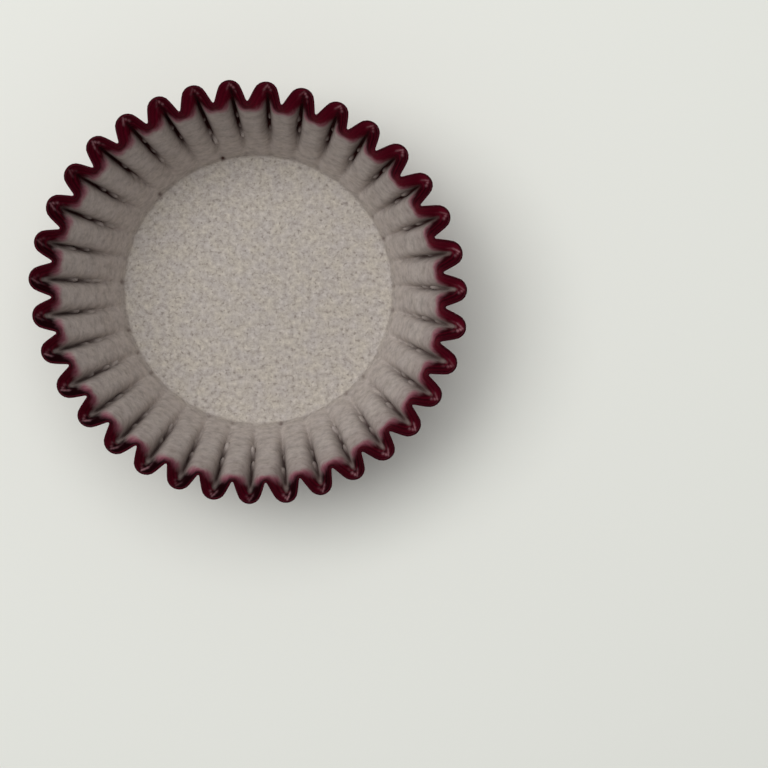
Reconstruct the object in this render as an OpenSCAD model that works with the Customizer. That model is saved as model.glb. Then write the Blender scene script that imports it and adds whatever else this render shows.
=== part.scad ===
// Fluted paper baking cup: one round blank of paper, pressed into a flat base and a wall of pleats.
// Millimetres, +Z up. The origin is the middle of the base's underside, where the cup stands.

/* [Cup] */
// Diameter of the flat round blank that the cup is pressed from
blank_d = 114; // [106:1:122]
// Diameter of the base, over the bend at its edge
base_d = 50; // [44:1:54]
// Diameter of the mouth, halfway through the pleats
mouth_d = 69; // [64:1:74]
// Radius of the bend from base to wall
bend_r = 1.5; // [1:0.1:3]

/* [Pleats] */
// Number of pleats round the wall
pleat_count = 35; // [28:1:37]
// Radius of the outward folds at the rim
crest_r = 1.3; // [0.8:0.1:1.5]
// Radius of the inward folds at the rim
valley_r = 0.5; // [0.4:0.1:1]

/* [Paper] */
// Thickness of the paper
paper_t = 0.35; // [0.2:0.05:0.5]

/* [Hidden] */

// Rows of facets up the bend and up the wall
bend_rows = 2;
wall_rows = 5;
// Steps that halve the search for an angle
halvings = 30;
deg_per_rad = 180 / PI;

// The flat of the base ends where the bend starts, and the rest of the blank is wall
flat_r = base_d / 2 - paper_t / 2 - bend_r;
wall_l = blank_d / 2 - flat_r;
both_folds_r = crest_r + valley_r;

// Angle at which a rising function reaches zero
function root(f, low, high, left = halvings) =
    let (middle = (low + high) / 2)
    left == 0 ? middle
    : f(middle) < 0 ? root(f, middle, high, left - 1)
    : root(f, low, middle, left - 1);

// The wall leans out as far as its own length of paper needs to reach the mouth
function bend_l(lean) = bend_r * (90 - lean) / deg_per_rad;
function reach(lean) = flat_r + bend_r * cos(lean) + (wall_l - bend_l(lean)) * sin(lean);
wall_lean = root(function (lean) reach(lean) - mouth_d / 2, -30, 80);

// Where a circle drawn on the blank, s outside the flat, comes to lie: its radius, height and slope
function slope(s) = min(s / bend_r * deg_per_rad, 90 - wall_lean);
function ring_r(s) =
    flat_r + bend_r * sin(slope(s)) + max(s - bend_l(wall_lean), 0) * sin(wall_lean);
function ring_z(s) =
    paper_t / 2 + bend_r * (1 - cos(slope(s))) + max(s - bend_l(wall_lean), 0) * cos(wall_lean);

// The blank's circle is longer than the ring it is pressed to, and the pleats take up the rest.
// Half a pleat is a crest arc, a straight flank and a valley arc, and keeps the length of its paper.
function half_paper(s) = PI * (flat_r + s) / pleat_count;
function half_pitch(s) = PI * ring_r(s) / pleat_count;
function half_width(fold, paper) =
    both_folds_r * sin(fold) + (paper - both_folds_r * fold / deg_per_rad) * cos(fold);
function fold_angle(s) =
    let (paper = half_paper(s), pitch = half_pitch(s))
    s <= 0 ? 0 : root(function (fold) pitch - half_width(fold, paper), 0, 100);
function pleat_depth(s) =
    let (fold = fold_angle(s))
    both_folds_r * (1 - cos(fold)) + (half_paper(s) - both_folds_r * fold / deg_per_rad) * sin(fold);

// Point of the pleat's section that lies q along the paper from the crest: across, outwards, slope
function section(q, paper, fold, depth) =
    let (
        crest_end = crest_r * fold / deg_per_rad,
        valley_start = paper - valley_r * fold / deg_per_rad,
        crest_turn = q / crest_r * deg_per_rad,
        valley_turn = (paper - q) / valley_r * deg_per_rad
    )
    q <= crest_end ? [crest_r * sin(crest_turn), crest_r * (cos(crest_turn) - 1), crest_turn]
    : q <= valley_start ? [
        crest_r * sin(fold) + (q - crest_end) * cos(fold),
        crest_r * (cos(fold) - 1) - (q - crest_end) * sin(fold),
        fold
    ]
    : [
        half_width(fold, paper) - valley_r * sin(valley_turn),
        valley_r * (1 - cos(valley_turn)) - depth,
        valley_turn
    ];

// Rings of the blank, closer together near the base, where the pleats deepen fastest
rows = [
    for (k = [0 : bend_rows]) bend_l(wall_lean) * k / bend_rows,
    for (k = [1 : wall_rows])
        bend_l(wall_lean) + (wall_l - bend_l(wall_lean)) * pow(k / wall_rows, 1.4)
];

// Columns of one pleat, counted in half pleats from a crest: they meet the ends of the rim's arcs
rim_fold = fold_angle(wall_l) / deg_per_rad;
crest_share = crest_r * rim_fold / half_paper(wall_l);
valley_share = valley_r * rim_fold / half_paper(wall_l);
half_columns = [0, crest_share / 2, crest_share, 1 - valley_share, 1 - valley_share / 2, 1];
columns = [
    each half_columns,
    for (k = [len(half_columns) - 2 : -1 : 1]) 2 - half_columns[k]
];

// One face of the paper at ring s: side 1 is outside, -1 inside
function skin_ring(s, side) =
    let (
        paper = half_paper(s),
        pitch = half_pitch(s),
        fold = fold_angle(s),
        depth = pleat_depth(s),
        radius = ring_r(s),
        height = ring_z(s),
        tilt = slope(s),
        offset = side * paper_t / 2
    )
    [
        for (pleat = [0 : pleat_count - 1], column = columns)
            let (
                spot = section(min(column, 2 - column) * paper, paper, fold, depth),
                from_crest = spot[0] + offset * sin(spot[2]),
                across = column <= 1 ? from_crest : 2 * pitch - from_crest,
                out = spot[1] + depth / 2 + offset * cos(spot[2]),
                turn = 360 * pleat / pleat_count + across / radius * deg_per_rad
            )
            [
                (radius + out * sin(tilt)) * cos(turn),
                (radius + out * sin(tilt)) * sin(turn),
                height - out * cos(tilt)
            ]
    ];

around = pleat_count * len(columns);
top_row = len(rows) - 1;

function spot_index(skin, row, column) = (skin * len(rows) + row) * around + column % around;

// Two facets between four corners, cut the same way on both flanks of a pleat
function facets(a, b, c, d, column) =
    column % len(columns) < len(columns) / 2 ? [[a, b, c], [a, c, d]] : [[a, b, d], [b, c, d]];

module liner() {
    points = [
        for (s = rows) each skin_ring(s, 1),
        for (s = rows) each skin_ring(s, -1),
        [0, 0, 0],
        [0, 0, paper_t]
    ];
    outer_middle = len(points) - 2;
    inner_middle = len(points) - 1;
    faces = [
        for (row = [0 : top_row - 1], column = [0 : around - 1])
            each facets(
                spot_index(0, row, column), spot_index(0, row + 1, column),
                spot_index(0, row + 1, column + 1), spot_index(0, row, column + 1), column
            ),
        for (row = [0 : top_row - 1], column = [0 : around - 1])
            each facets(
                spot_index(1, row + 1, column), spot_index(1, row, column),
                spot_index(1, row, column + 1), spot_index(1, row + 1, column + 1), column
            ),
        for (column = [0 : around - 1])
            each facets(
                spot_index(0, top_row, column), spot_index(1, top_row, column),
                spot_index(1, top_row, column + 1), spot_index(0, top_row, column + 1), column
            ),
        for (column = [0 : around - 1])
            [outer_middle, spot_index(0, 0, column), spot_index(0, 0, column + 1)],
        for (column = [0 : around - 1])
            [inner_middle, spot_index(1, 0, column + 1), spot_index(1, 0, column)]
    ];
    color([0.36, 0.13, 0.18]) polyhedron(points, faces, convexity = 10);
}

liner();
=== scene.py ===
from math import atan2, cos, exp, floor, hypot, pi, radians, sin, tau
from random import Random

import bmesh
import bpy
from mathutils import Matrix, Vector, noise


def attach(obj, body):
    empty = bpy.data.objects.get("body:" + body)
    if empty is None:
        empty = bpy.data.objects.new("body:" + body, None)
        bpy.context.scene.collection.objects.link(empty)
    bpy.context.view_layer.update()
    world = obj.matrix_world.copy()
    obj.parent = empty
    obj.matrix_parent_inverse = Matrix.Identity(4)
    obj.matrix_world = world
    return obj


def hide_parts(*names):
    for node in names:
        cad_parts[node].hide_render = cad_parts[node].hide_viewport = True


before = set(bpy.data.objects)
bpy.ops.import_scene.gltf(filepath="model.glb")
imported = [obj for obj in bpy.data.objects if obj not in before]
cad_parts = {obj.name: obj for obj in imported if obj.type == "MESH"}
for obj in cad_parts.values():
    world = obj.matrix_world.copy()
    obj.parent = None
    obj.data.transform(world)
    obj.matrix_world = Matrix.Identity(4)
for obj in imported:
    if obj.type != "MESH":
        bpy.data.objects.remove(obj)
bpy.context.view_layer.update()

mm = 0.001
scene = bpy.context.scene


def linear(hexColour):
    # sRGB hex to the linear values that Blender's sockets take
    channels = [int(hexColour[i:i + 2], 16) / 255 for i in (1, 3, 5)]
    return [c / 12.92 if c <= 0.04045 else ((c + 0.055) / 1.055) ** 2.4 for c in channels] + [1.0]


def addNode(tree, kind, links=None, **settings):
    # one node: links go to its sockets, as a value, a hex colour, another node or one of its outputs
    made = tree.nodes.new(kind)
    for name, value in settings.items():
        setattr(made, name, value)
    for name, value in (links or {}).items():
        if isinstance(value, bpy.types.Node):
            value = value.outputs[0]
        if isinstance(value, bpy.types.NodeSocket):
            tree.links.new(value, made.inputs[name])
        else:
            made.inputs[name].default_value = linear(value) if isinstance(value, str) else value
    return made


def blend(pair, share):
    return pair[0] + (pair[1] - pair[0]) * share


def smooth(low, high, value):
    share = min(max((value - low) / (high - low), 0), 1)
    return share * share * (3 - 2 * share)


def bell(distance, width):
    # 1 in the middle, and 0.37 at the width on either side
    return exp(-(distance / width) ** 2)


def halve(isLow, low, high, steps=36):
    # the place between low and high where isLow stops being true
    for _ in range(steps):
        middle = (low + high) / 2
        low, high = (middle, high) if isLow(middle) else (low, middle)
    return low


# The cup: a flat round blank of paper, pressed into a base and a pleated wall.
# Lengths are in millimetres, along the paper where it is folded, and turns in degrees from X.
cup = {
    "blankRadius": 57.0,
    "baseRadius": 25.4,
    "mouthRadius": 34.7,              # halfway through the pleats
    "bendRadius": 1.0,
    "thickness": 0.4,
    "pleats": 35,
    "grooveRadius": 0.35,             # outward folds on the wall, which show inside as narrow grooves
    "ridgeRadius": 1.05,              # edges of the broad ridges between them
    "ridgeFlat": 0.36,                # share of a ridge that is flat
    "shoulderRadius": 1.4,            # the ridges' edges below the rim, which are rounder
    "shoulderFlat": 0.22,
    "shoulderZone": (5.0, 16.0),      # from the rim, where the ridges change to that
    "rimCrestRadius": 1.95,           # outward folds at the rim, where the grooves open into round lobes
    "rimValleyRadius": 0.45,          # inward folds at the rim
    "rimZone": 6.0,                   # from the rim, where the folds change to that
    "rimStretch": 0.09,               # share by which the folds are drawn deeper at the rim
    "sharpestFold": 100.0,            # the furthest that a fold's arcs may turn, in degrees
    "pressed": 0.45,                  # share of the folds' depth that the mould leaves near the base
    "pressedZone": (3.0, 16.0),       # from the base's flat, where they come to their full depth
    "oval": 0.023,                    # share by which the mouth is drawn out,
    "ovalTurn": -23.0,                # and in which direction
    "sway": (0.35, 0.0),              # how far the mouth hangs to one side of the base
    "gather": 0.9,                    # how far the pleats crowd on two sides, in degrees,
    "gatherTurn": -7.0,               # and on which sides
    "foldDrift": 0.13,                # how far a fold strays sideways at the rim,
    "depthDrift": 0.15,               # and how far in or out
    "crumple": 1.3,                   # height of the largest crumples in the grooves
    "crumpleWidth": 0.44,             # and half their width
    "crumpleAside": 0.25,             # how far they lie to one side of the groove
    "crumpleHighest": (19.0, 23.0),   # from the base's flat, the one nearest the rim in each groove
    "crumplesBelow": ((4.5, 6.5), (8.5, 10.0)),  # how far the others lie below it
    "crumpleCounts": (2, 2, 3),       # how many a groove may have
    "crumpleLengths": (0.5, 1.7),     # half of each one's length
    "crumpleSizes": (0.4, 1.0),
    "waves": ((0.22, 0.06), (0.6, 0.025)),  # waves of the whole wall: how many per mm, and their height
    "columnsPerPleat": 20,
    "columnCrowding": 0.5,            # over 0, the columns crowd towards the folds
    "baseRings": 7,
    "bendRings": 4,
    "wallRings": 47,
    "ringCrowding": 1.3,              # over 1, the rings crowd towards the rim
    "seed": 7,
}
cup["flatRadius"] = cup["baseRadius"] - cup["thickness"] / 2 - cup["bendRadius"]
cup["wallLength"] = cup["blankRadius"] - cup["flatRadius"]


def mouthReach(lean):
    # mouth radius that the wall's own length of paper reaches at a lean from upright
    bend = cup["bendRadius"] * (pi / 2 - lean)
    return cup["flatRadius"] + cup["bendRadius"] * cos(lean) + (cup["wallLength"] - bend) * sin(lean)


lean = halve(lambda turn: mouthReach(turn) < cup["mouthRadius"], 0, radians(80))
bendLength = cup["bendRadius"] * (pi / 2 - lean)


def ringOf(out):
    # radius, height and slope of the ring that a circle of the blank comes to, out mm past the flat
    slope = min(max(out, 0) / cup["bendRadius"], pi / 2 - lean)
    straight = max(out - bendLength, 0)
    radius = cup["flatRadius"] + min(out, 0) + cup["bendRadius"] * sin(slope) + straight * sin(lean)
    height = cup["thickness"] / 2 + cup["bendRadius"] * (1 - cos(slope)) + straight * cos(lean)
    return radius, height, slope


def halfPleat(spot, radius):
    # the section of half a pleat on a ring: a crest arc, a straight flank, a valley arc and a flat,
    # whose paper is longer than the half pitch that it spans
    length, pitch = pi * spot["blankRadius"] / cup["pleats"], pi * radius / cup["pleats"]
    atRim = 1 - smooth(0, cup["rimZone"], spot["toRim"])
    atShoulder = 1 - smooth(*cup["shoulderZone"], spot["toRim"])
    flat = blend((cup["ridgeFlat"], cup["shoulderFlat"]), atShoulder) * (1 - atRim) * pitch
    crest = blend((cup["grooveRadius"], cup["rimCrestRadius"]), atRim)
    valley = blend((cup["ridgeRadius"], cup["shoulderRadius"]), atShoulder)
    valley = blend((valley, cup["rimValleyRadius"]), atRim)
    folded, span, both = length - flat, pitch - flat, crest + valley
    sharpest = min(folded / both, radians(cup["sharpestFold"]))
    fold = halve(lambda turn: both * sin(turn) + (folded - both * turn) * cos(turn) > span, 0, sharpest)
    depth = both * (1 - cos(fold)) + (folded - both * fold) * sin(fold)
    return {
        "length": length, "pitch": pitch, "folded": folded, "span": span, "atRim": atRim,
        "crest": crest, "valley": valley, "fold": fold, "depth": depth,
    }


def sectionPoint(along, half):
    # across and outwards from the crest, at a length along the paper of a half pleat
    crest, valley, fold, depth = half["crest"], half["valley"], half["fold"], half["depth"]
    if along <= crest * fold:
        return crest * sin(along / crest), crest * (cos(along / crest) - 1)
    if along <= half["folded"] - valley * fold:
        flank = along - crest * fold
        return crest * sin(fold) + flank * cos(fold), crest * (cos(fold) - 1) - flank * sin(fold)
    if along <= half["folded"]:
        turn = (half["folded"] - along) / valley
        return half["span"] - valley * sin(turn), valley * (1 - cos(turn)) - depth
    return half["span"] + along - half["folded"], -depth


def makeBlank():
    # the flat round of paper: a small disc, then ring after ring drawn outwards
    flat, wall, rings = cup["flatRadius"], cup["wallLength"] - bendLength, cup["wallRings"]
    fromRim = [wall * ((rings - k - 1) / rings) ** cup["ringCrowding"] for k in range(rings)]
    radii = [flat * (k + 1) / (cup["baseRings"] + 1) for k in range(cup["baseRings"] + 1)]
    radii += [flat + bendLength * (k + 1) / cup["bendRings"] for k in range(cup["bendRings"])]
    radii += [cup["blankRadius"] - distance for distance in fromRim]
    columns = cup["pleats"] * cup["columnsPerPleat"]
    mesh = bmesh.new()
    bmesh.ops.create_circle(mesh, cap_ends=True, cap_tris=True, segments=columns, radius=radii[0])
    border = [edge for edge in mesh.edges if edge.is_boundary]
    for before, after in zip(radii, radii[1:]):
        grown = bmesh.ops.extrude_edge_only(mesh, edges=border)["geom"]
        corners = [item for item in grown if isinstance(item, bmesh.types.BMVert)]
        bmesh.ops.scale(mesh, verts=corners, vec=(after / before, after / before, 1))
        border = [item for item in grown if isinstance(item, bmesh.types.BMEdge) and item.is_boundary]
    bmesh.ops.recalc_face_normals(mesh, faces=mesh.faces)
    return mesh


def spotOf(corner):
    # where a corner of the flat blank lies, with the columns crowded towards the folds. The millionth of a
    # pleat keeps rounding from putting the first column in the last pleat.
    blankRadius = hypot(corner.co.x, corner.co.y)
    out = round(blankRadius - cup["flatRadius"], 4)
    turn = (atan2(corner.co.y, corner.co.x) / tau * cup["pleats"] + 1e-6) % cup["pleats"]
    ridge, part = floor(turn), turn % 1
    even = 2 * part if part < 0.5 else 2 - 2 * part
    share = even - cup["columnCrowding"] * sin(tau * even) / tau
    side = 1 if part < 0.5 else -1
    groove = ridge if part < 0.5 else ridge + 1
    return {
        "blankRadius": blankRadius,
        "out": out,                      # past the base's flat
        "toRim": cup["wallLength"] - out,
        "groove": groove,                # the outward fold, by number round the cup
        "ridge": ridge,                  # the inward fold, half a pleat past the groove of that number
        "side": side,                    # of the groove
        "share": share,                  # of the way from the groove to the ridge
        "angle": (groove + side * share / 2) * tau / cup["pleats"],
    }


# The paper's finish: its colours and fibres, the ink and wear on it, painted shade in its grooves and
# painted highlights at the rim's tips. Lengths are in millimetres, along the paper, scales per millimetre,
# and turns in degrees from X. A zone is where a thing sets in or ends.
paper = {
    "insideWarm": "#cdc5b8",
    "insideCool": "#c7c0ba",
    "insideDark": "#8e8680",
    "insideFleck": "#7a716b",
    "insideWall": "#cdc2bc",
    # the colour of the painted shade in the grooves
    "insideShade": "#3a1614",
    "outside": "#6e2c38",
    "outsideLight": "#94515c",
    "outsideDark": "#541d28",
    "outsideWorn": "#a4666f",
    "rim": "#430614",
    "rimThin": "#700b25",
    "rimDark": "#1a0105",
    # painted shade down the middle of the grooves
    "rimSlitShade": "#140305",
    "rimStain": "#64403f",
    "rimFuzz": "#984e62",
    # painted highlight at the rim's tips
    "rimGlint": "#c8949c",
    "fibre": 0.55,                    # across a clump of fibres
    "grain": 0.06,                    # height of the fibres
    "patchScale": 0.35,               # warm and cool patches of the base, about 3 mm across
    "dullScale": 0.5,                 # dull patches of the wall, 2 mm across
    "ironedLength": 4.0,              # how far past the base's flat the mould's ironing sets in,
    "ironed": 0.6,                    # and how much of the cloudiness it takes
    "wornWidth": 3.5,                 # of the rubbed band outside, on either side of the bend
    "wornMiddle": 0.4,                # of which this much is rubbed fully
    "wornFold": 0.5,                  # how rubbed the outward folds are,
    "wornFoldShare": 0.12,            # over this share of half a pleat
    "wornFoldZone": (2.0, 8.0),       # past the bend
    "inkScale": 0.9,                  # raggedness of the ink's edge, about 1 mm across,
    "inkRagged": 1.6,                 # and how far it moves the edge
    "inkEdge": (-0.4, 2.0),           # where the ink sets in, past its mean edge
    "fuzzWidth": 2.4,                 # width of the smudge before the ink,
    "fuzzEnd": 0.7,                   # and where it ends
    "bandScale": 1.6,                 # faint bands in the ink along the rim, about 0.6 mm wide,
    "bandRagged": 1.2,                # how far they stray from it,
    "bandDepth": 1.2,                 # how much they change its density,
    "inkThinner": 0.46,               # and how much is taken off again
    "back": 55.0,                     # the turn to what counts as the ink's back
    "inkOnRidge": (1.1, 4.1),         # how far the ink comes down from the rim, at the front and the back,
    "inkAtGroove": (5.0, 2.0),        # and how much further towards the grooves, at both
    "inkScallop": 1.2,                # over 1, its scallops are more pointed
    "inkBare": 2.7,                   # how much of that is bare again in a groove itself,
    "inkBareShare": 0.14,             # how wide, as a share of half a pleat,
    "inkBareFar": 0.2,                # and the share of it that is left on the far side, towards Y
    "inkDensity": (0.75, 0.3),        # at the front and the back
    "flankShade": 0.4,                  # painted light and shade: how much darker or lighter it is on the flanks,
    "flankLitTurn": 135.0,             # which are lightest where their outside faces this way, towards the light
    "inkFlankEnd": 0.2,               # share of half a pleat at each fold that isn't flank
    "smudge": (0.9, 0.75),            # how much is smudged past its edge, at the front and the back,
    "smudgeZone": (0.2, 0.6),         # and from which share of half a pleat
    "stain": 0.19,                    # how red the paper is near the ink, as a share,
    "stainShift": 0.12,               # by how much more on one side,
    "stainTurn": -25.0,               # on which side,
    "stainZone": (3.0, 15.0),         # and how far below the rim it fades out
    "shadeStrength": (0.64, 1.14),             # strength of all the painted shade in the grooves, for the front and the far side
    "core": 0.72,                     # the dark middle of a groove
    "coreWidth": 0.8,
    "shade": (0.42, 0.62),            # the soft shade beside it, for the sides along X and those along Y
    "shadeWidth": (1.8, 2.2),
    "shadeZone": (9.0, 19.0),          # past the base's flat, where both set in
    "tipClean": 0.6,                  # share of both that is missing near the rim, but for the far side
    "tipCleanWidth": 0.5,
    "tipCleanZone": (3.0, 7.0),
    "foot": 0.3,                      # a faint patch where a groove starts
    "footWidth": 0.9,
    "footMiddle": 9.0,                # past the base's flat
    "footLength": 3.0,
    "dents": (-0.25, 1.25),           # a dark dot in the bend below a groove: below 0 it has none
    "dentWidth": 0.5,
    "dentMiddle": 1.8,
    "dentLength": 0.85,
    "crease": 0.5,                    # painted shade beside a crumple,
    "creaseAside": 0.35,
    "creaseWidth": 0.35,
    "crumpleUnshaded": 0.7,              # and how much of the groove's painted shade the crumple itself loses
    "slitShade": 0.8,                      # painted shade: the dark line down the middle of a groove, whose bottom lies in shadow
    "slitWidth": 0.48,
    "slitZone": (13.0, 22.0),         # past the base's flat, where it sets in
    "slitUneven": (0.35, 0.6),        # how often per mm its strength changes, and by how much
    "slitSway": (0.25, 0.25),         # how often per mm it sways, and how far
    "slitFaint": 0.4,                 # how much fainter it is on one side,
    "slitFaintTurn": 20.0,            # and on which
    "slitCrumpleGap": 0.8,          # how much of it a crumple hides
    "slitStart": (3.2, 1.2),          # how far below the rim it starts, about, at the front and the far side
    "slitFade": 4.0,                  # how far it takes to set in at the front,
    "slitFarEnd": 2.6,                # and how far below the rim it has done so on the far side
    "rub": 0.8,                       # painted highlight at the rim's tips, in chevrons
    "glintTip": 0.6,                    # how far below the rim a chevron's tip lies
    "glintWidth": 0.4,
    "glintSlope": (1.5, 3.0),           # how steep an arm is, at 0 and at 1 of its draw,
    "glintReach": (0.6, 1.2),           # and how far to the side it reaches
    "glintDraws": ((0.15, 1.0), (0.25, 0.7), (0.5, 1.5)),  # limits of an arm's strength, slope and reach
}


def drawCrumples(random):
    # the crumples of one groove: the middle, half the length, the size and the side of each
    highest = random.uniform(*cup["crumpleHighest"])
    middles = [highest] + [highest - random.uniform(*below) for below in cup["crumplesBelow"]]
    return [
        (middle, random.uniform(*cup["crumpleLengths"]), random.uniform(*cup["crumpleSizes"]),
         random.choice((-1, 1)))
        for middle in middles[:random.choice(cup["crumpleCounts"])]
    ]


def drawPleats():
    # what differs from pleat to pleat. The spare row isn't used: it keeps the draws after it as they are.
    random = Random(cup["seed"])
    count = range(cup["pleats"])
    pleats = {
        row: [random.uniform(-1, 1) for _ in count]
        for row in ("grooveAside", "ridgeAside", "grooveOut", "ridgeOut", "spare")
    }
    pleats["crumples"] = [drawCrumples(random) for _ in count]
    pleats["dents"] = [max(random.uniform(*paper["dents"]), 0) for _ in count]
    pleats["rubs"] = [
        [[random.uniform(*limits) for limits in paper["glintDraws"]] for _ in range(2)] for _ in count
    ]
    return pleats


def inkAt(spot):
    # seen from above, the ink inside ends in scallops, each with a bare wedge in its groove
    share, angle = spot["share"], spot["angle"]
    back = 0.5 + 0.5 * cos(angle - radians(paper["back"]))
    far = max(sin(angle), 0)
    reach = blend(paper["inkOnRidge"], back)
    reach += blend(paper["inkAtGroove"], back) * (1 - share) ** paper["inkScallop"]
    reach -= paper["inkBare"] * blend((1, paper["inkBareFar"]), far) * bell(share, paper["inkBareShare"])
    # painted light and shade: a flank is lighter where its outside faces the light and darker where it faces
    # away
    facing = cos(angle + spot["side"] * pi / 2 - radians(paper["flankLitTurn"]))
    end = paper["inkFlankEnd"]
    flank = smooth(0, end, share) * (1 - smooth(1 - end, 1, share))
    stain = paper["stain"] + paper["stainShift"] * cos(angle - radians(paper["stainTurn"]))
    return {
        "inked": reach - spot["toRim"],
        "inkDenseAndShaded": blend(paper["inkDensity"], back) - paper["flankShade"] * facing * flank,
        "smudged": smooth(*paper["smudgeZone"], share) * blend(paper["smudge"], back),
        "stained": stain * (1 - smooth(*paper["stainZone"], spot["toRim"])),
    }


def crumplesAt(spot, beside, crumples):
    # for each crumple of a groove: how near it is along the groove, its bump at the spot, its size and side
    found = []
    for middle, length, size, side in crumples:
        along = bell(spot["out"] - middle, length)
        bump = along * bell(beside - cup["crumpleAside"] * side, cup["crumpleWidth"])
        found.append((along, bump, size, side))
    return found


def grooveShadeAt(spot, beside, crumples, dent):
    # painted shade in the grooves and beside the crumples, where light reaches less,
    # and a dark dot in the dent at the foot of each groove
    out, angle = spot["out"], spot["angle"]
    far, endOn = max(sin(angle), 0), abs(sin(angle))
    shade = blend(paper["shade"], endOn) * bell(beside, blend(paper["shadeWidth"], endOn))
    shaded = (paper["core"] * bell(beside, paper["coreWidth"]) + shade) * smooth(*paper["shadeZone"], out)
    atTip = bell(beside, paper["tipCleanWidth"]) * (1 - smooth(*paper["tipCleanZone"], spot["toRim"]))
    shaded *= 1 - paper["tipClean"] * (1 - far) * atTip
    atFoot = bell(beside, paper["footWidth"]) * bell(out - paper["footMiddle"], paper["footLength"])
    shaded += paper["foot"] * atFoot
    for along, bump, _, side in crumples:
        crease = paper["crease"] * along * bell(beside + paper["creaseAside"] * side, paper["creaseWidth"])
        shaded += crease - paper["crumpleUnshaded"] * shaded * bump
    inDent = bell(beside, paper["dentWidth"]) * bell(out - paper["dentMiddle"], paper["dentLength"])
    return max(shaded, dent * inDent) * blend(paper["shadeStrength"], far)


def slitShadeAt(spot, beside, crumples, below):
    # painted shade: a dark line down the middle of each groove, whose bottom lies in shadow, broken by the
    # crumples
    out, angle = spot["out"], spot["angle"]
    apart = spot["groove"] % cup["pleats"] * 3.7  # so that no two grooves share their noise
    often, much = paper["slitSway"]
    line = much * noise.noise(Vector((apart, out * often, 5)))
    often, much = paper["slitUneven"]
    slitShade = bell(beside - line, paper["slitWidth"]) * smooth(*paper["slitZone"], out)
    slitShade *= paper["slitShade"] + much * noise.noise(Vector((apart, out * often, 0)))
    slitShade *= 1 - paper["slitFaint"] * max(cos(angle - radians(paper["slitFaintTurn"])), 0)
    for _, bump, _, _ in crumples:
        slitShade *= 1 - paper["slitCrumpleGap"] * bump
    far = max(sin(angle), 0)
    start = blend((paper["slitStart"][0] * below, paper["slitStart"][1]), far)
    end = blend((start + paper["slitFade"], paper["slitFarEnd"]), far)
    return slitShade * blend(paper["shadeStrength"], far) * smooth(start, end, spot["toRim"])


def tipGlintAt(spot, beside, rub):
    # painted highlight at the rim's tips, in a chevron with an arm on each side of the groove's line
    strength, slope, reach = rub
    arm = spot["toRim"] - paper["glintTip"] - blend(paper["glintSlope"], slope) * abs(beside)
    short = 1 - smooth(paper["glintWidth"], blend(paper["glintReach"], reach), abs(beside))
    return paper["rub"] * strength * bell(arm, paper["glintWidth"]) * short


def wallPlace(spot, half, ring, pleats, crumples):
    # the place on the cup of a corner of the wall
    radius, height, slope = ring
    groove, ridge, up = spot["groove"] % cup["pleats"], spot["ridge"], spot["out"] / cup["wallLength"]
    across, inward = sectionPoint(spot["share"] * half["length"], half)
    # each fold strays a little from its even place, more towards the rim
    pleatTurn, strays = tau / cup["pleats"], up * cup["foldDrift"] / radius
    grooveAngle = spot["groove"] * pleatTurn + pleats["grooveAside"][groove] * strays
    ridgeAngle = (ridge + 0.5) * pleatTurn + pleats["ridgeAside"][ridge] * strays
    angle = grooveAngle + (ridgeAngle - grooveAngle) * across / half["pitch"]
    deep = min(-inward / half["depth"], 1)
    stray = cup["depthDrift"] * up * blend((pleats["grooveOut"][groove], pleats["ridgeOut"][ridge]), deep)
    # the folds are shallow near the base and drawn deeper at the rim, and crumple inwards in between
    pressed = blend((cup["pressed"], 1), smooth(*cup["pressedZone"], spot["out"]))
    stretched = 1 + cup["rimStretch"] * half["atRim"]
    outwards = (inward + half["depth"] / 2) * pressed * stretched + stray
    outwards -= cup["crumple"] * sum(size * bump for _, bump, size, _ in crumples)
    # the mouth is slightly oval, and the pleats crowd together on two sides of it
    angle += up * radians(cup["gather"]) * sin(2 * (angle - radians(cup["gatherTurn"])))
    fromOval = 2 * (angle - radians(cup["ovalTurn"]))
    radius = (radius + outwards * sin(slope)) * (1 + cup["oval"] * up * cos(fromOval))
    angle -= cup["oval"] * up * sin(fromOval)
    place = Vector((radius * cos(angle), radius * sin(angle), height - outwards * cos(slope)))
    return place + Vector((*cup["sway"], 0)) * up


def waveAt(place):
    # gentle waves from the edge of the base's flat up, under a tenth of a millimetre
    wave = sum(tall * noise.noise(place * often) for often, tall in cup["waves"])
    return Vector((place.x, place.y, 0)).normalized() * wave


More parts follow.
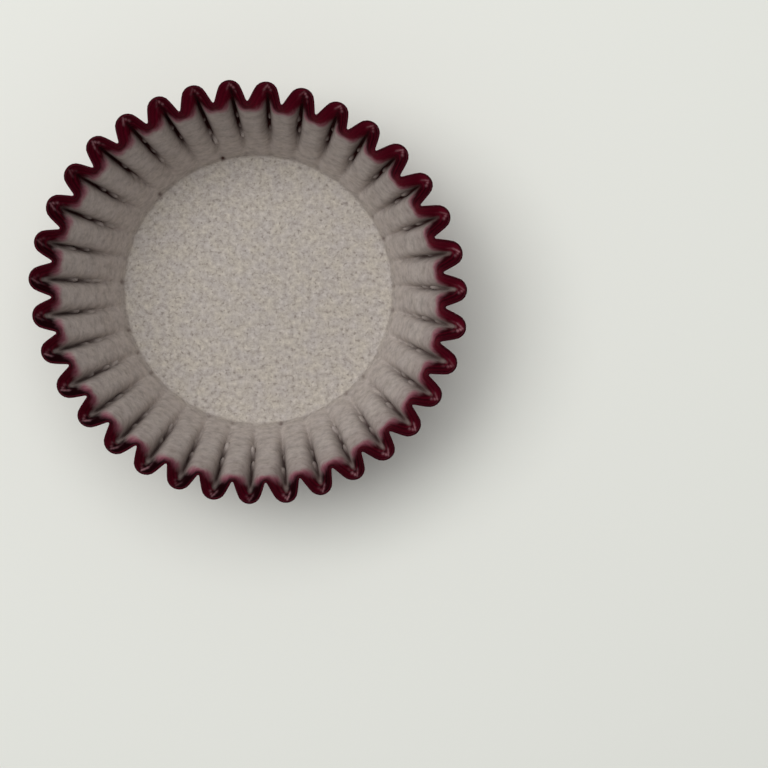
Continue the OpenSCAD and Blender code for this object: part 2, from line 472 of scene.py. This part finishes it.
def pressBlank(mesh):
    # moves each corner of the blank to its place on the pressed cup, and notes where it was and its marks:
    # fold is 0 on an outward fold and 1 on an inward one, toRim is the paper left up to the rim, inked is
    # how far inside the ink the corner lies, both in millimetres, and the others are shares of a finish,
    # of painted shade in the grooves, of painted highlight at the tips, and of painted light on the flanks
    pleats, halves, flats = drawPleats(), {}, {}
    size = 2 * cup["blankRadius"]
    flatMap = mesh.loops.layers.uv.new("blank")
    names = ("fold", "toRim", "inked", "inkDenseAndShaded", "smudged", "stained", "grooveShade", "slitShade", "tipGlint")
    layers = {name: mesh.verts.layers.float.new(name) for name in names}
    for corner in mesh.verts:
        spot = spotOf(corner)
        out, angle = spot["out"], spot["angle"]
        flats[corner] = [spot["blankRadius"] * part / size + 0.5 for part in (cos(angle), sin(angle))]
        found = {"fold": spot["share"], "toRim": spot["toRim"], **inkAt(spot)}
        radius, height, slope = ringOf(out)
        if out <= 0:
            place = Vector((radius * cos(angle), radius * sin(angle), height))
        else:
            if out not in halves:
                halves[out] = halfPleat(spot, radius)
            half = halves[out]
            beside = spot["side"] * spot["share"] * half["length"]  # of the groove, along the paper
            groove = spot["groove"] % cup["pleats"]
            crumples = crumplesAt(spot, beside, pleats["crumples"][groove])
            rub = pleats["rubs"][groove][spot["side"] > 0]
            found["grooveShade"] = grooveShadeAt(spot, beside, crumples, pleats["dents"][groove])
            found["slitShade"] = slitShadeAt(spot, beside, crumples, rub[2])  # lower where the glint reaches further
            found["tipGlint"] = tipGlintAt(spot, beside, rub)
            place = wallPlace(spot, half, (radius, height, slope), pleats, crumples)
        if out >= 0:
            place += waveAt(place)
        for name, value in found.items():
            corner[layers[name]] = value
        corner.co = place * mm
    for face in mesh.faces:
        for loop in face.loops:
            loop[flatMap].uv = flats[loop.vert]


def startMaterial(name, markNames=()):
    # an empty paper: its shader, the place on the flat blank in millimetres, which stretches no fibre, and
    # the marks that pressBlank noted
    material = bpy.data.materials.new(name)
    material.use_nodes = True
    tree = material.node_tree
    shader = tree.nodes["Principled BSDF"]
    shader.inputs["IOR"].default_value = 1.4
    shader.inputs["Specular IOR Level"].default_value = 0.06
    size = 2 * cup["blankRadius"]
    blank = addNode(tree, "ShaderNodeUVMap", uv_map="blank")
    place = addNode(tree, "ShaderNodeMapping", {"Vector": blank, "Scale": (size, size, 1)})
    noted = [addNode(tree, "ShaderNodeAttribute", attribute_name=mark).outputs["Fac"] for mark in markNames]
    return material, tree, shader, place, noted


def finishMaterial(tree, shader, colour, layers, bump):
    # each layer covers the colour so far, by a share; the last colour and the bump go to the shader
    for share, tint in layers:
        mixed = addNode(tree, "ShaderNodeMix", {"Factor": share, 6: colour, 7: tint}, data_type="RGBA")
        colour = mixed.outputs[2]
    tree.links.new(colour, shader.inputs["Base Color"])
    tree.links.new(bump.outputs[0], shader.inputs["Normal"])


def insidePaper():
    # unprinted greaseproof paper: pale grey beige, cloudy with short fibres, quite matt,
    # with the outside's ink brought over the rim in a dark band that feathers out,
    # and with painted shade in the grooves and painted highlights at the rim's tips
    material, tree, shader, place, noted = startMaterial("unprinted greaseproof paper", (
        "toRim", "inked", "inkDenseAndShaded", "smudged", "stained", "grooveShade", "slitShade", "tipGlint",
    ))
    toRim, pastEdge, inkDenseAndShaded, smudged, stained, grooveShade, slitShade, tipGlint = noted
    clouds = addNode(tree, "ShaderNodeTexNoise", {
        "Vector": place, "Scale": 0.6 / paper["fibre"], "Detail": 4.0, "Roughness": 0.75,
    })
    cloudy = addNode(tree, "ShaderNodeMapRange", {"Value": clouds, "From Min": 0.25, "From Max": 0.75})
    patches = addNode(tree, "ShaderNodeTexNoise", {
        "Vector": place, "Scale": paper["patchScale"], "Detail": 2.0,
    })
    warm = addNode(tree, "ShaderNodeMapRange", {"Value": patches, "From Min": 0.35, "From Max": 0.65})
    light = addNode(tree, "ShaderNodeMix", {
        "Factor": warm, 6: paper["insideCool"], 7: paper["insideWarm"],
    }, data_type="RGBA")
    base = addNode(tree, "ShaderNodeMix", {
        "Factor": cloudy, 6: paper["insideDark"], 7: light.outputs[2],
    }, data_type="RGBA")
    flecks = addNode(tree, "ShaderNodeTexNoise", {
        "Vector": place, "Scale": 0.8 / paper["fibre"], "Detail": 2.0, "Roughness": 0.5,
    })
    flecked = addNode(tree, "ShaderNodeMapRange", {
        "Value": flecks, "From Min": 0.57, "From Max": 0.72, "To Max": 0.7,
    })
    # on the wall, which the mould has ironed, both are fainter, and dull patches show in their place
    ironed = addNode(tree, "ShaderNodeMapRange", {
        "Value": toRim, "From Min": cup["wallLength"],
        "From Max": cup["wallLength"] - paper["ironedLength"], "To Max": paper["ironed"],
    })
    dull = addNode(tree, "ShaderNodeTexNoise", {
        "Vector": place, "Scale": paper["dullScale"], "Detail": 3.0, "Roughness": 0.65,
    })
    dulled = addNode(tree, "ShaderNodeMapRange", {
        "Value": dull, "From Min": 0.42, "From Max": 0.7, "To Max": 0.7,
    })
    wall = addNode(tree, "ShaderNodeMix", {
        "Factor": dulled, 6: paper["insideWall"], 7: paper["insideDark"],
    }, data_type="RGBA")
    # the ink has a soft ragged edge, with a smudge before it, and lies in faint bands along the rim
    ragged = addNode(tree, "ShaderNodeTexNoise", {
        "Vector": place, "Scale": paper["inkScale"], "Detail": 3.0, "Roughness": 0.6,
    })
    past = addNode(tree, "ShaderNodeMath", {
        0: ragged, 1: paper["inkRagged"], 2: pastEdge,
    }, operation="MULTIPLY_ADD")
    fuzz = addNode(tree, "ShaderNodeMapRange", {
        "Value": past, "From Min": paper["fuzzEnd"] - paper["fuzzWidth"], "From Max": paper["fuzzEnd"],
    }, interpolation_type="SMOOTHSTEP")
    fuzz = addNode(tree, "ShaderNodeMath", {0: fuzz, 1: smudged}, operation="MULTIPLY")
    ink = addNode(tree, "ShaderNodeMapRange", {
        "Value": past, "From Min": paper["inkEdge"][0], "From Max": paper["inkEdge"][1],
    }, interpolation_type="SMOOTHSTEP")
    banded = addNode(tree, "ShaderNodeMath", {
        0: ragged, 1: paper["bandRagged"], 2: toRim,
    }, operation="MULTIPLY_ADD")
    bands = addNode(tree, "ShaderNodeTexNoise", {
        "W": banded, "Scale": paper["bandScale"], "Detail": 1.0,
    }, noise_dimensions="1D")
    # the density also carries the painted light and shade on the lobes' flanks
    density = addNode(tree, "ShaderNodeMath", {
        0: bands, 1: paper["bandDepth"], 2: inkDenseAndShaded,
    }, operation="MULTIPLY_ADD")
    density = addNode(tree, "ShaderNodeMath", {0: density, 1: paper["inkThinner"]}, operation="SUBTRACT")
    inkColour = addNode(tree, "ShaderNodeMix", {
        "Factor": density, 6: paper["rimThin"], 7: paper["rimDark"],
    }, data_type="RGBA")
    bump = addNode(tree, "ShaderNodeBump", {
        "Height": clouds, "Distance": paper["grain"] * mm, "Strength": 0.2,
    })
    # the groove shade and the slit are painted shade, and the tips' glint is painted highlight
    finishMaterial(tree, shader, base.outputs[2], (
        (flecked, paper["insideFleck"]),
        (ironed, wall.outputs[2]),
        (grooveShade, paper["insideShade"]),
        (stained, paper["rimStain"]),
        (fuzz, paper["rimFuzz"]),
        (ink, inkColour.outputs[2]),
        (slitShade, paper["rimSlitShade"]),
        (tipGlint, paper["rimGlint"]),
    ), bump)
    rough = addNode(tree, "ShaderNodeMapRange", {"Value": ink, "To Min": 0.8, "To Max": 0.7})
    tree.links.new(rough.outputs[0], shader.inputs["Roughness"])
    return material


def outsidePaper():
    # the same paper printed all over in maroon: matt, with pale fibres that the ink missed,
    # and rubbed lighter round the bend at the base and along the outward folds
    material, tree, shader, place, noted = startMaterial("maroon printed paper", ("toRim", "fold"))
    toRim, fold = noted
    clouds = addNode(tree, "ShaderNodeTexNoise", {
        "Vector": place, "Scale": 0.25 / paper["fibre"], "Detail": 4.0, "Roughness": 0.7,
    })
    cloudy = addNode(tree, "ShaderNodeMapRange", {"Value": clouds, "From Min": 0.34, "From Max": 0.66})
    printed = addNode(tree, "ShaderNodeMix", {
        "Factor": cloudy, 6: paper["outsideDark"], 7: paper["outside"],
    }, data_type="RGBA")
    fibres = addNode(tree, "ShaderNodeTexNoise", {
        "Vector": place, "Scale": 0.7 / paper["fibre"], "Detail": 3.0, "Roughness": 0.6, "Distortion": 1.5,
    })
    missed = addNode(tree, "ShaderNodeMapRange", {
        "Value": fibres, "From Min": 0.5, "From Max": 0.72, "To Max": 0.6,
    })
    pastBend = addNode(tree, "ShaderNodeMath", {
        0: cup["wallLength"] - bendLength / 2, 1: toRim,
    }, operation="SUBTRACT")
    beyond = addNode(tree, "ShaderNodeMath", {0: pastBend}, operation="ABSOLUTE")
    atBend = addNode(tree, "ShaderNodeMapRange", {
        "Value": beyond, "From Min": paper["wornMiddle"], "From Max": paper["wornWidth"],
        "To Min": 1.0, "To Max": 0.0,
    }, interpolation_type="SMOOTHSTEP")
    onFold = addNode(tree, "ShaderNodeMapRange", {
        "Value": fold, "From Max": paper["wornFoldShare"], "To Min": paper["wornFold"], "To Max": 0.0,
    })
    onWall = addNode(tree, "ShaderNodeMapRange", {
        "Value": pastBend, "From Min": paper["wornFoldZone"][0], "From Max": paper["wornFoldZone"][1],
    })
    onFold = addNode(tree, "ShaderNodeMath", {0: onFold, 1: onWall}, operation="MULTIPLY")
    worn = addNode(tree, "ShaderNodeMath", {0: atBend, 1: onFold}, operation="MAXIMUM")
    worn = addNode(tree, "ShaderNodeMath", {0: worn, 1: fibres}, operation="MULTIPLY")
    bump = addNode(tree, "ShaderNodeBump", {
        "Height": fibres, "Distance": paper["grain"] * mm, "Strength": 0.5,
    })
    finishMaterial(tree, shader, printed.outputs[2], (
        (missed, paper["outsideLight"]),
        (worn, paper["outsideWorn"]),
    ), bump)
    shader.inputs["Roughness"].default_value = 0.72
    return material


def cutEdge():
    # the blank's cut edge, soaked with ink: nearly black maroon with a slight gloss
    material, tree, shader, place, _ = startMaterial("inked cut edge")
    soaked = addNode(tree, "ShaderNodeTexNoise", {
        "Vector": place, "Scale": paper["inkScale"], "Detail": 3.0, "Roughness": 0.6,
    })
    colour = addNode(tree, "ShaderNodeMix", {
        "Factor": soaked, 6: paper["rimDark"], 7: paper["rim"],
    }, data_type="RGBA")
    tree.links.new(colour.outputs[2], shader.inputs["Base Color"])
    shader.inputs["Roughness"].default_value = 0.5
    return material


def makeCup():
    mesh = makeBlank()
    pressBlank(mesh)
    data = bpy.data.meshes.new("bakingCup")
    mesh.to_mesh(data)
    mesh.free()
    data.shade_smooth()
    piece = bpy.data.objects.new("bakingCup", data)
    scene.collection.objects.link(piece)
    for material in (insidePaper(), outsidePaper(), cutEdge()):
        data.materials.append(material)
    wall = piece.modifiers.new("paper thickness", "SOLIDIFY")
    wall.thickness = cup["thickness"] * mm
    wall.offset = 0
    wall.use_quality_normals = True
    wall.material_offset = 1
    wall.material_offset_rim = 2
    return piece


print("pressing the cup")
bakingCup = makeCup()
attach(bakingCup, "root")
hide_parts("liner")


# The view from above, as the photograph has it. Pixels are those of its 768 by 768 frame.
view = {
    "frame": 768,
    "focal": 1876,              # focal length, in pixels
    "height": 350.0,            # camera above the floor, mm
    "basePixel": (258.6, 290),  # where the middle of the base shows
    "plumbPixel": (384, 254),   # the point straight under the camera
    "turn": -1.8,               # of the cup under the camera, degrees
}


def makeCamera():
    data = bpy.data.cameras.new("camera")
    data.sensor_width = 36
    data.lens = data.sensor_width * view["focal"] / view["frame"]
    camera = bpy.data.objects.new("camera", data)
    scene.collection.objects.link(camera)
    perPixel = view["height"] / view["focal"]
    across = (view["plumbPixel"][0] - view["basePixel"][0]) * perPixel
    up = (view["basePixel"][1] - view["plumbPixel"][1]) * perPixel
    tilt = atan2(view["frame"] / 2 - view["plumbPixel"][1], view["focal"])
    place = Matrix.Translation(Vector((across, up, view["height"])) * mm) @ Matrix.Rotation(-tilt, 4, "X")
    camera.matrix_world = Matrix.Rotation(radians(view["turn"]), 4, "Z") @ place
    scene.camera = camera


# The studio: a pale table, a lamp close above, a stronger lamp further off on the left, and a dim even sky.
# Lengths are in metres. A lamp tilts away from straight above, and turns round from X, in degrees.
studio = {
    "table": "#e6e7e0",
    "tableSize": 3.0,
    "aboveSize": 0.4,
    "abovePower": 1.46,
    "aboveAway": 0.6,
    "aboveTilt": 15,
    "aboveTurn": 92,
    "leftSize": 0.6,
    "leftPower": 4.4,
    "leftAway": 1.1,
    "leftTilt": 26,
    "leftTurn": 155,
    "sky": "#f4f5f6",
    "skyStrength": 0.35,
}


def makeTable():
    mesh = bmesh.new()
    bmesh.ops.create_grid(mesh, x_segments=4, y_segments=4, size=studio["tableSize"])
    data = bpy.data.meshes.new("table")
    mesh.to_mesh(data)
    mesh.free()
    table = bpy.data.objects.new("table", data)
    scene.collection.objects.link(table)
    material = bpy.data.materials.new("pale matt laminate")
    material.use_nodes = True
    shader = material.node_tree.nodes["Principled BSDF"]
    shader.inputs["Base Color"].default_value = linear(studio["table"])
    shader.inputs["Roughness"].default_value = 0.8
    data.materials.append(material)


def makeLamp(name):
    data = bpy.data.lights.new(name, "AREA")
    data.shape = "DISK"
    data.size = studio[name + "Size"]
    data.energy = studio[name + "Power"]
    lamp = bpy.data.objects.new(name, data)
    tilt, turn = radians(studio[name + "Tilt"]), radians(studio[name + "Turn"])
    lamp.location = Vector((sin(tilt) * cos(turn), sin(tilt) * sin(turn), cos(tilt))) * studio[name + "Away"]
    lamp.rotation_euler = (-lamp.location).to_track_quat("-Z", "Y").to_euler()
    scene.collection.objects.link(lamp)


def makeWorld():
    world = bpy.data.worlds.new("studio")
    world.use_nodes = True
    sky = world.node_tree.nodes["Background"]
    sky.inputs["Color"].default_value = linear(studio["sky"])
    sky.inputs["Strength"].default_value = studio["skyStrength"]
    scene.world = world


print("setting the stage")
makeCamera()
makeTable()
makeLamp("above")
makeLamp("left")
makeWorld()
scene.view_settings.view_transform = "Standard"

print("done")
